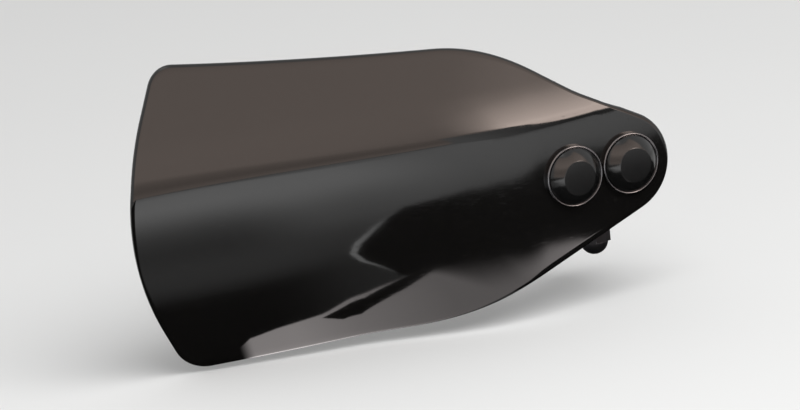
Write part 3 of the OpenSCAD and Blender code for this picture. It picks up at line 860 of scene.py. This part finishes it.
# Pieces
class GUARD_OT_shell(bpy.types.Operator):
    """Builds the moulded shell from its outline and its swept, creased skin"""

    bl_idname = "hand_guard.shell"
    bl_label = "Shell"

    def execute(self, context):
        s = settings("guard_shell_sizes")
        form = ShellForm(s)
        bm = bmesh.new()
        number = bm.verts.layers.int.new("number")
        across = bm.verts.layers.float.new("across")
        bmesh.ops.create_grid(bm, x_segments=COLS, y_segments=ROWS, size=1)
        flat = {v: (round((v.co.x + 1) / 2 * COLS), round((v.co.y + 1) / 2 * ROWS)) for v in bm.verts}
        made = bmesh.ops.duplicate(bm, geom=bm.verts[:] + bm.edges[:] + bm.faces[:])
        for v, (i, j) in flat.items():
            p = form.grid_pt(i, j)
            twin = made["vert_map"][v]
            v.co = form.skin(p, 0)
            twin.co = form.skin(p, s.wall)
            twin[across] = 1.0
            border = border_number(i, j)
            v[number] = 0 if border is None else border + 1
        ring = [e for e in bm.edges if e.is_boundary and e.verts[0] in flat]
        for step in range(1, RIM_STEPS + 1):
            made = bmesh.ops.extrude_edge_only(bm, edges=ring)
            ring = [e for e in made["geom"] if isinstance(e, bmesh.types.BMEdge)]
            for v in {v for e in ring for v in e.verts}:
                v.co = form.rim(v[number] - 1, math.pi * (0.5 - step / RIM_STEPS))
                v[across] = step / RIM_STEPS
        bmesh.ops.remove_doubles(bm, verts=bm.verts, dist=MERGE)
        bmesh.ops.recalc_face_normals(bm, faces=bm.faces)
        bm.verts.layers.int.remove(number)
        bm.transform(mount_place())
        piece = add_piece(bm, "shell", "guard_shell", gloss_shell)
        for side in SIDES:
            cut(piece, prism(ROUND_STEPS, s.hole_d / 2, 4 * s.wall), screw_place(side))
        piece.data.shade_smooth()
        piece.data.set_sharp_from_angle(angle=SHARP_ANGLE)
        return {"FINISHED"}


class GUARD_OT_bracket(bpy.types.Operator):
    """Dresses the bent steel bracket"""

    bl_idname = "hand_guard.bracket"
    bl_label = "Bracket"

    def execute(self, context):
        dressed_piece("bracket", "mounting_bracket", powder_coat, 0.4)
        return {"FINISHED"}


def cap_profile(m):
    """Section of a snap cap, from the middle of its top round to the middle of its inside."""
    skirt = m.base_d / 2 - m.lip_w - m.cap_gap
    ceiling = m.base_t + m.head_h + m.head_gap
    top = ceiling + m.cap_t
    low = Vector((skirt, m.lip_h))
    high = Vector((m.cap_flat / 2, top))
    half = (high - low) / 2
    inward = Vector((-half.y, half.x)).normalized()
    centre = low + half + inward * math.sqrt(m.cap_round ** 2 - half.length_squared)
    dome = arc(centre, m.cap_round, angle_of(high - centre), angle_of(low - centre), ARC_STEPS)
    inner_r = m.cap_round - m.cap_t
    catch_h = m.snap_h - 2 * m.bead_r - m.catch_gap
    catch_r = m.snap_d / 2 + m.catch_gap
    inside = arc(centre, inner_r, math.asin((catch_h - centre.y) / inner_r),
                 math.asin((ceiling - centre.y) / inner_r), ARC_STEPS)
    return [(0, top), *dome, (skirt, m.base_t), (catch_r, m.base_t), (catch_r, catch_h),
            *inside, (0, ceiling)]


def base_profile(m):
    """Section of a cap base: plate, rolled lip and beaded snap ring."""
    edge = m.base_d / 2
    lip_y = m.lip_h - m.lip_w / 2
    ring = m.snap_d / 2
    lip = arc((edge - m.lip_w / 2, lip_y), m.lip_w / 2, 0, math.pi, ARC_STEPS)
    bead = arc((ring, m.snap_h - m.bead_r), m.bead_r, -math.pi / 2, math.pi / 2, ARC_STEPS // 2)
    return [(m.base_hole / 2, 0), (edge, 0), *lip, (edge - m.lip_w, m.base_t), (ring, m.base_t), *bead,
            (ring - m.snap_t, m.snap_h), (ring - m.snap_t, m.base_t), (m.base_hole / 2, m.base_t)]


class GUARD_OT_caps(bpy.types.Operator):
    """Turns the two snap caps and their bases"""

    bl_idname = "hand_guard.caps"
    bl_label = "Snap caps"

    def execute(self, context):
        m = settings("guard_mount_sizes")
        for side in SIDES:
            shade(turned_piece(side, "snap_cap", "cap", gloss_cap, 0.3, cap_profile(m),
                               closed=False))
            shade(turned_piece(side, "lipped_base", "cap_base", black_chrome, 0.15,
                               base_profile(m)))
        return {"FINISHED"}


def screw_levels(wall, m):
    """Heights along a screw from the front of the shell: plate front, plate back, nut seat, tip."""
    plate_front = -wall - m.grommet_t
    plate_back = plate_front - m.plate
    nut_seat = plate_back - m.washer_t
    return plate_front, plate_back, nut_seat, nut_seat - m.nut_h - m.tip_out


class GUARD_OT_screws(bpy.types.Operator):
    """Makes the button head screws with their sockets and threads"""

    bl_idname = "hand_guard.screws"
    bl_label = "Screws"

    def execute(self, context):
        s = settings("guard_shell_sizes")
        m = settings("guard_mount_sizes")
        plate_back, tip = screw_levels(s.wall, m)[1::2]
        top = m.base_t + m.head_h
        ball = ((m.head_d / 2) ** 2 + m.head_h ** 2) / (2 * m.head_h)
        head = arc((0, top - ball), ball, math.pi / 2, math.asin((m.base_t - top + ball) / ball),
                   ARC_STEPS)
        shank = m.screw_d / 2
        core = shank - OUTER_THREAD * m.thread_pitch
        point = m.thread_pitch / 2
        profile = [*head, (shank, m.base_t), (shank, plate_back), (core, plate_back - point),
                   (core, tip + point), (core - point, tip), (0, tip)]
        for side in SIDES:
            place = screw_place(side)
            piece = turned_piece(side, "button_screw", "screw", zinc_plate, 0.15, profile,
                                 closed=False)
            key = prism(6, m.key / math.sqrt(3), 2 * m.key_depth)
            cut(piece, key, place @ Matrix.Translation((0, 0, top)))
            bm = bmesh.new()
            bm.from_mesh(piece.data)
            bm.transform(place.inverted())
            thread(bm, core - ROOT_SUNK, shank, m.thread_pitch, tip + point, plate_back - point)
            bm.transform(place)
            bm.to_mesh(piece.data)
            bm.free()
            shade(piece)
        return {"FINISHED"}


def tube_profile(inner, outer, top, low):
    return [(inner, top), (outer, top), (outer, low), (inner, low)]


class GUARD_OT_cushions(bpy.types.Operator):
    """Turns the rubber grommets and their steel sleeves"""

    bl_idname = "hand_guard.cushions"
    bl_label = "Grommets and sleeves"

    def execute(self, context):
        s = settings("guard_shell_sizes")
        m = settings("guard_mount_sizes")
        plate_front = screw_levels(s.wall, m)[0]
        bore = m.sleeve_d / 2 + m.slip
        bush = s.hole_d / 2 - m.slip
        x = m.grommet_d / 2 - m.grommet_round
        front = arc((x, -s.wall - m.grommet_round), m.grommet_round, math.pi / 2, 0, ARC_STEPS // 2)
        rear = arc((x, plate_front + m.grommet_round), m.grommet_round, 0, -math.pi / 2, ARC_STEPS // 2)
        inner = m.screw_d / 2 + m.slip
        grommet = [(bore, 0), (bush, 0), (bush, -s.wall), *front, *rear, (bore, plate_front)]
        for side in SIDES:
            shade(turned_piece(side, "rubber_grommet", "grommet", rubber, 0.2, grommet))
            shade(turned_piece(side, "steel_sleeve", "sleeve", zinc_plate, 0.15,
                               tube_profile(inner, m.sleeve_d / 2, 0, plate_front)))
        return {"FINISHED"}


class GUARD_OT_nuts(bpy.types.Operator):
    """Makes the flat washers, the locknuts and their nylon rings"""

    bl_idname = "hand_guard.nuts"
    bl_label = "Washers and locknuts"

    def execute(self, context):
        s = settings("guard_shell_sizes")
        m = settings("guard_mount_sizes")
        plate_back, nut_seat = screw_levels(s.wall, m)[1:3]
        bore = m.screw_d / 2 + 2 * m.slip
        ring_low = nut_seat - m.nut_h + m.nylon_sink
        ring_bore = m.screw_d / 2 + m.slip / 2
        for side in SIDES:
            shade(turned_piece(side, "flat_washer", "washer", zinc_plate, 0.2,
                               tube_profile(bore, m.washer_d / 2, plate_back, nut_seat)))
            dressed_piece(f"{side}_collar_nut", f"{side}_locknut", zinc_plate, 0.1)
            shade(turned_piece(side, "locking_ring", "nylon_ring", nylon, 0.1,
                               tube_profile(ring_bore, m.nylon_out, ring_low + m.nylon_h, ring_low)))
        return {"FINISHED"}


class GUARD_OT_stem_hardware(bpy.types.Operator):
    """Dresses the washers and the acorn nut under the foot"""

    bl_idname = "hand_guard.stem_hardware"
    bl_label = "Stem hardware"

    def execute(self, context):
        m = settings("guard_mount_sizes")
        bore = m.stem_bore / 2

        def threaded(bm):
            """The thread starts a little inside the mouth and ends a turn above the bottom."""
            thread(bm, bore + ROOT_SUNK, bore - INNER_THREAD * m.stem_pitch, m.stem_pitch,
                   m.stem_pitch - m.acorn_top - m.acorn_depth, -m.acorn_top - 0.7 * m.stem_pitch)

        dressed_piece("foot_washer", "stem_washer", black_zinc, 0.2)
        dressed_piece("split_washer", "stem_lock_washer", black_zinc, 0.15)
        dressed_piece("acorn_nut", "stem_acorn_nut", black_zinc, 0.15, threaded)
        return {"FINISHED"}


# Studio, in metres unless a name or comment says otherwise
WHITE = (1, 1, 1)
FLOOR_RADIUS = 8
# Azimuth, elevation and distance of the lamp, and its width and height
LAMP_PLACE = (math.radians(25), math.radians(52), 1.6)
LAMP_SIZE = (1.6, 1.2)
SENSOR_MM = 36
CLIP_END = 50

# Azimuths and elevations in degrees, and distance, of the card over the object and of the tall
# panel that the shell reflects
OVERHEAD = ((-150, 20), (66, 88), 1.5)
OVERHEAD_GLOW = 2.0
PANEL = ((-45, 85), (-1, 64), 1.6)
# The panel's brightness by elevation, and how much of the hot spot it has there
PANEL_TONE = ((0, 1.35), (12, 0.97), (18, 1.05), (24, 1.25), (30, 1.72), (36, 1.75), (64, 1.2))
HOT_TONE = ((-1, 0.2), (4, 1), (24, 1), (28, 0.55), (32, 0.17), (36, 0))
# The hot spot's outboard edge and the edge's width, low and high on the panel. It widens from an
# elevation on, has a core from an azimuth on and ends before another: each start with its width
HOT_EDGE = (43.5, 38.8)
HOT_SOFT = (3, 9)
HOT_WIDENS = (22, 6)
HOT_CORE = (44.5, 2)
HOT_ENDS = (62, 10)
CORE_GAIN = 0.4

# Millimetres from here on. The bright floor that the shell reflects: from x to x, its near edge
# in front of the origin, and how many times as far its far edge is
GLOW_WIDTH = (-700, 1100)
GLOW_NEAR = 25
GLOW_FAR = 130
# Its brightness by distance in front of the origin, at the left and in the middle
GLOW_LEFT = ((92, 0), (106, 0.38), (120, 0.47), (150, 0.38), (170, 0.48), (190, 0.75), (210, 1.18),
             (230, 1.7), (260, 2.25), (400, 2.1), (1000, 1.7), (3000, 1.35))
GLOW_MIDDLE = ((100, 0.3), (130, 0.55), (150, 0.9), (170, 1.1), (190, 1.35), (210, 1.7), (230, 2),
               (260, 2.2), (400, 2.1), (1000, 1.7), (3000, 1.35))
# It takes on the tones of the middle, dims by a share and begins from an x, over a width
GLOW_TURNS = (-130, 70)
GLOW_DIMS = (-30, 130)
DIM_SHARE = 0.32
GLOW_BEGINS = (-250, 40)

# Outlines of the cards seen from above, in millimetres: the dark leaf in the lower panel with its
# bright rim, the dark sliver below it and the flag below the mount. The rim's brightness fades in
# outboard and in front, each from a distance over a width
RIM_GLOW = 2.3
RIM_OUT = (30, 20)
RIM_AHEAD = (84, 12)
LEAF_RIM = ((-74, -82), (-81, -94), (-80.5, -103), (-74, -113), (-57, -130), (-40, -145),
            (-22, -158), (-10, -130))
LEAF = ((-72, -82), (-79, -94), (-78.5, -102), (-72.5, -111), (-57, -127), (-43, -141), (-24, -156),
        (0, -168), (46, -189), (90, -202), (120, -206), (150, -210), (176, -210), (190, -196),
        (260, -190), (260, -95), (60, -95), (-40, -80))
SLIVER = ((-112, -62), (-101, -64.5), (-92, -67.5), (-80, -75.5), (-67, -84.5), (-54, -92),
          (-76, -73), (-87, -65), (-97, -58.5), (-104, -58))
MOUNT_FLAG = ((-30, -60), (10, -82), (75, -98), (260, -108), (260, 60), (-30, 60))
# The card below the object: from x to x, its edges behind and in front, and its brightness by x
UNDER_X = (-150, 72)
UNDER_BACK = ((-150, -48), (-105, -41), (-78, -42), (-52, -49), (-20, -62), (17, -74), (72, -90))
UNDER_FRONT = ((-150, -58), (-144, -62), (-131, -64), (-110, -65), (-91, -71), (-79, -78), (-66, -86),
               (-50, -96), (-29, -109), (4, -124), (53, -126), (72, -116))
UNDER_TONE = ((-125, 3.9), (-100, 2.7), (-60, 1.9), (-10, 1.9), (25, 2.7), (60, 3.4))
UNDER_TINT = (1, 0.93, 0.92)
# Share of its depth over which it fades in, outboard and inboard, and where that changes
UNDER_FADE = (0.02, 0.55)
FADE_TURNS = (-70, 40)
# The flag under the caps, along the tab and in front of it at a height, and the flag that stands
# upright beyond the tab, x by height, on the line y = slope * x + start: all in millimetres. The
# brightness of that one goes from its left to its right tone from an x on, over a width
CAP_FLAG = ((-46, -1.5), (10, -1.5), (10, -25), (-46, -25))
CAP_FLAG_HEIGHT = -18
ROOT_FLAG = ((50, 40), (73, 12), (92, -4), (150, -8), (176, -8), (176, 32), (147, 34), (133, 66),
             (126, 104), (114, 120), (96, 124), (50, 128))
ROOT_SLOPE = 0.14
ROOT_START = -208
ROOT_TONE = (0.95, 0.2)
ROOT_TURNS = (70, 80)


def step(x, start, width):
    """0 before the start, 1 from a width after it and smooth between."""
    return smooth((x - start) / width)


def read(table, x):
    """Value of a table of pairs at x."""
    return float(numpy.interp(x, *zip(*table)))


def facing(place, target, roll=0.0):
    """Matrix of something at a place that looks at a target."""
    look = (Vector(target) - Vector(place)).to_track_quat("-Z", "Y").to_matrix().to_4x4()
    return Matrix.Translation(place) @ look @ Matrix.Rotation(roll, 4, "Z")


def around(centre, azimuth, elevation, distance):
    """Point at a direction from the centre: azimuth from straight ahead of it, towards inboard."""
    flat = math.cos(elevation) * distance
    return Vector(centre) + Vector((math.sin(azimuth) * flat, -math.cos(azimuth) * flat,
                                    math.sin(elevation) * distance))


def reflected(name, bm, tone):
    """Makes a card that only reflections show, with its brightness and cover from its points."""
    s = Shader(bpy.data.materials.new(name))
    shine = s.node("ShaderNodeEmission", {"Color": tone, "Strength": s.attribute("glow")})
    clear = s.node("ShaderNodeBsdfTransparent", {})
    both = s.node("ShaderNodeMixShader", {0: s.attribute("cover").above(0.0, 1.0), 1: clear.outputs[0],
                                          2: shine.outputs[0]})
    s.node("ShaderNodeOutputMaterial", {"Surface": both.outputs[0]})
    thing = added(bm, name, s.owner)
    thing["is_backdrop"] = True
    thing.visible_camera = False
    thing.visible_diffuse = False
    thing.visible_transmission = False
    thing.visible_shadow = False


def card_mesh():
    """An empty mesh with the layers for a card's brightness and cover."""
    bm = bmesh.new()
    return bm, bm.verts.layers.float.new("glow"), bm.verts.layers.float.new("cover")


def card(name, outline, fade, glow=lambda place: 0.0):
    """A flat card, soft over the width fade, whose brightness is a function of the place."""
    bm, bright, cover = card_mesh()
    face = bm.faces.new([bm.verts.new(point) for point in outline])
    bmesh.ops.inset_region(bm, faces=[face], thickness=fade, use_even_offset=True)
    for v in bm.verts:
        v[bright] = glow(v.co / MM)
        v[cover] = 1.0 if v in face.verts[:] else 0.0
    reflected(name, bm, WHITE)


def sheet(name, place, glow, tone, cells, edge):
    """A large sheet whose place and brightness are functions of two shares, both 0 to 1."""
    bm, bright, cover = card_mesh()
    bmesh.ops.create_grid(bm, x_segments=cells[0], y_segments=cells[1], size=0.5)
    for v in bm.verts:
        a = v.co.x + 0.5
        b = v.co.y + 0.5
        v.co = place(a, b)
        v[bright] = glow(a, b)
        v[cover] = min(1.0, min(a, 1 - a, b, 1 - b) / edge)
    reflected(name, bm, tone)


def add_cards(st, centre, floor_z):
    """The panel, flags and cards that the glossy shell shows. Each card that lies on the floor has
    a height of its own, so that none meets another."""
    def on_dome(span, a, b):
        azimuths, elevations, distance = span
        return around(centre, math.radians(mix(*azimuths, a)), math.radians(mix(*elevations, b)),
                      distance)

    def over_floor(x, y, height):
        return Vector((x * MM, y * MM, floor_z + height * MM))

    def flag(name, outline, height, fade, glow=lambda place: 0.0):
        card(name, [over_floor(x, y, height) for x, y in outline], fade * MM, glow)

    def panel_glow(a, b):
        """Dim over the horizon, brighter above, with a hot spot inboard that widens upward."""
        azimuth = mix(*PANEL[0], a)
        elevation = mix(*PANEL[1], b)
        high = step(elevation, *HOT_WIDENS)
        near = step(azimuth, mix(*HOT_EDGE, high), mix(*HOT_SOFT, high))
        near *= smooth((HOT_ENDS[0] - azimuth) / HOT_ENDS[1])
        near *= 1 + CORE_GAIN * step(azimuth, *HOT_CORE)
        return st.panel * read(PANEL_TONE, elevation) + st.hot * near * read(HOT_TONE, elevation)

    def glow_place(a, b):
        return over_floor(mix(*GLOW_WIDTH, a), -GLOW_NEAR * GLOW_FAR ** b, 0.2)

    def floor_glow(a, b):
        """Dark under the object and bright from a quarter of a metre in front of it."""
        x, y, _ = glow_place(a, b) / MM
        tone = mix(read(GLOW_LEFT, -y), read(GLOW_MIDDLE, -y), step(x, *GLOW_TURNS))
        tone *= 1 - DIM_SHARE * step(x, *GLOW_DIMS)
        return st.far_floor * tone * step(x, *GLOW_BEGINS)

    def under_place(a, b):
        x = mix(*UNDER_X, a)
        return over_floor(x, mix(read(UNDER_FRONT, x), read(UNDER_BACK, x), b), 0.8)

    def under_glow(a, b):
        """Fades in from its front edge, slowly at the inboard end."""
        x = mix(*UNDER_X, a)
        fade = mix(*UNDER_FADE, step(x, *FADE_TURNS))
        return st.under_glow * read(UNDER_TONE, x) * smooth(b / fade)

    sheet("panel", lambda a, b: on_dome(PANEL, a, b), panel_glow, st.warmth, (130, 65), 0.02)
    sheet("floor_glow", glow_place, floor_glow, WHITE, (120, 70), 0.01)
    flag("leaf_rim", LEAF_RIM, 0.5, 1.5,
         lambda place: RIM_GLOW * step(-place.x, *RIM_OUT) * step(-place.y, *RIM_AHEAD))
    flag("leaf_flag", LEAF, 0.6, 3)
    sheet("under_card", under_place, under_glow, UNDER_TINT, (74, 20), 0.03)
    flag("sliver", SLIVER, 1.0, 1.2)
    flag("mount_flag", MOUNT_FLAG, 1.0, 10)
    card("cap_flag", [mount_place() @ (Vector((u, y, CAP_FLAG_HEIGHT)) * MM) for u, y in CAP_FLAG],
         1 * MM)
    card("root_flag", [Vector((x, ROOT_SLOPE * x + ROOT_START, z)) * MM for x, z in ROOT_FLAG],
         12 * MM, lambda place: mix(*ROOT_TONE, step(place.x, *ROOT_TURNS)))
    sheet("overhead", lambda a, b: on_dome(OVERHEAD, a, b), lambda a, b: OVERHEAD_GLOW, WHITE,
          (32, 24), 0.3)


def add_floor(st, place):
    s = Shader(bpy.data.materials.new("pale_floor"))
    tone = s.blend(s.noise(6, detail=3) * 0.3, st.floor, tuple(0.94 * c for c in st.floor))
    material = s.surface(base=tone, roughness=0.85, ior=1.0)
    bm = bmesh.new()
    bmesh.ops.create_circle(bm, cap_ends=True, segments=ROUND_STEPS, radius=FLOOR_RADIUS)
    bm.transform(Matrix.Translation(place))
    added(bm, "floor", material)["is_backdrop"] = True


def add_backdrop(st):
    """Gives the sky one brightness for what is seen or mirrored and one for the soft fill."""
    world = bpy.data.worlds.new("studio")
    bpy.context.scene.world = world
    s = Shader(world)
    rays = s.node("ShaderNodeLightPath", {}).outputs
    camera, glossy, through = (Value(s, rays[f"Is {kind} Ray"])
                               for kind in ("Camera", "Glossy", "Transmission"))
    strength = st.ambient + camera.most(glossy).most(through) * (st.sky - st.ambient)
    back = s.node("ShaderNodeBackground", {"Color": WHITE, "Strength": strength})
    s.node("ShaderNodeOutputWorld", {"Surface": back.outputs["Background"]})


def add_lamp(st, centre):
    """A large soft lamp that glossy surfaces don't show."""
    light = bpy.data.lights.new("lamp", "AREA")
    light.shape = "RECTANGLE"
    light.size, light.size_y = LAMP_SIZE
    light.energy = st.lamp * math.pi * light.size * light.size_y
    lamp = bpy.data.objects.new("lamp", light)
    bpy.context.scene.collection.objects.link(lamp)
    lamp.matrix_world = facing(around(centre, *LAMP_PLACE), centre)
    lamp.visible_glossy = False
    lamp.visible_camera = False


def add_camera(st, aim):
    eye = bpy.data.cameras.new("camera")
    eye.sensor_width = SENSOR_MM
    eye.lens = eye.sensor_width * st.distance / st.view_width
    eye.clip_end = CLIP_END
    camera = bpy.data.objects.new("camera", eye)
    scene = bpy.context.scene
    scene.collection.objects.link(camera)
    camera.matrix_world = facing(around(aim, st.azimuth, st.elevation, st.distance), aim, st.roll)
    scene.camera = camera
    scene.view_settings.view_transform = "Standard"


class GUARD_OT_studio(bpy.types.Operator):
    """Sets the pale floor, the soft lights and the camera"""

    bl_idname = "hand_guard.studio"
    bl_label = "Studio"

    def execute(self, context):
        st = settings("guard_studio")
        low, high = (Vector(corner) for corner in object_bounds())
        centre = (low + high) / 2
        floor_z = low.z - st.floor_gap
        add_floor(st, (centre.x, centre.y, floor_z))
        add_backdrop(st)
        add_lamp(st, centre)
        add_cards(st, centre, floor_z)
        add_camera(st, centre + Vector((0, 0, st.aim_drop)))
        return {"FINISHED"}


class GUARD_PT_panel(bpy.types.Panel):
    """Lists the steps that build the hand guard"""

    bl_idname = "GUARD_PT_panel"
    bl_label = "Hand guard"
    bl_space_type = "VIEW_3D"
    bl_region_type = "UI"
    bl_category = "Hand guard"

    def draw(self, context):
        for step in STEPS:
            self.layout.operator(step.bl_idname)
        for name, group in SETTINGS.items():
            box = self.layout.box()
            for key in group.__annotations__:
                box.prop(settings(name), key)


STEPS = (
    GUARD_OT_shell, GUARD_OT_bracket, GUARD_OT_caps, GUARD_OT_screws, GUARD_OT_cushions,
    GUARD_OT_nuts, GUARD_OT_stem_hardware, GUARD_OT_studio,
)


def register():
    for cls in (*SETTINGS.values(), *STEPS, GUARD_PT_panel):
        bpy.utils.register_class(cls)
    for name, group in SETTINGS.items():
        setattr(bpy.types.Scene, name, PointerProperty(type=group))


def unregister():
    for name in SETTINGS:
        delattr(bpy.types.Scene, name)
    for cls in reversed((*SETTINGS.values(), *STEPS, GUARD_PT_panel)):
        bpy.utils.unregister_class(cls)


def main():
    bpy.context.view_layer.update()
    register()
    for step in STEPS:
        group, name = step.bl_idname.split(".")
        getattr(getattr(bpy.ops, group), name)()


if __name__ == "__main__":
    main()
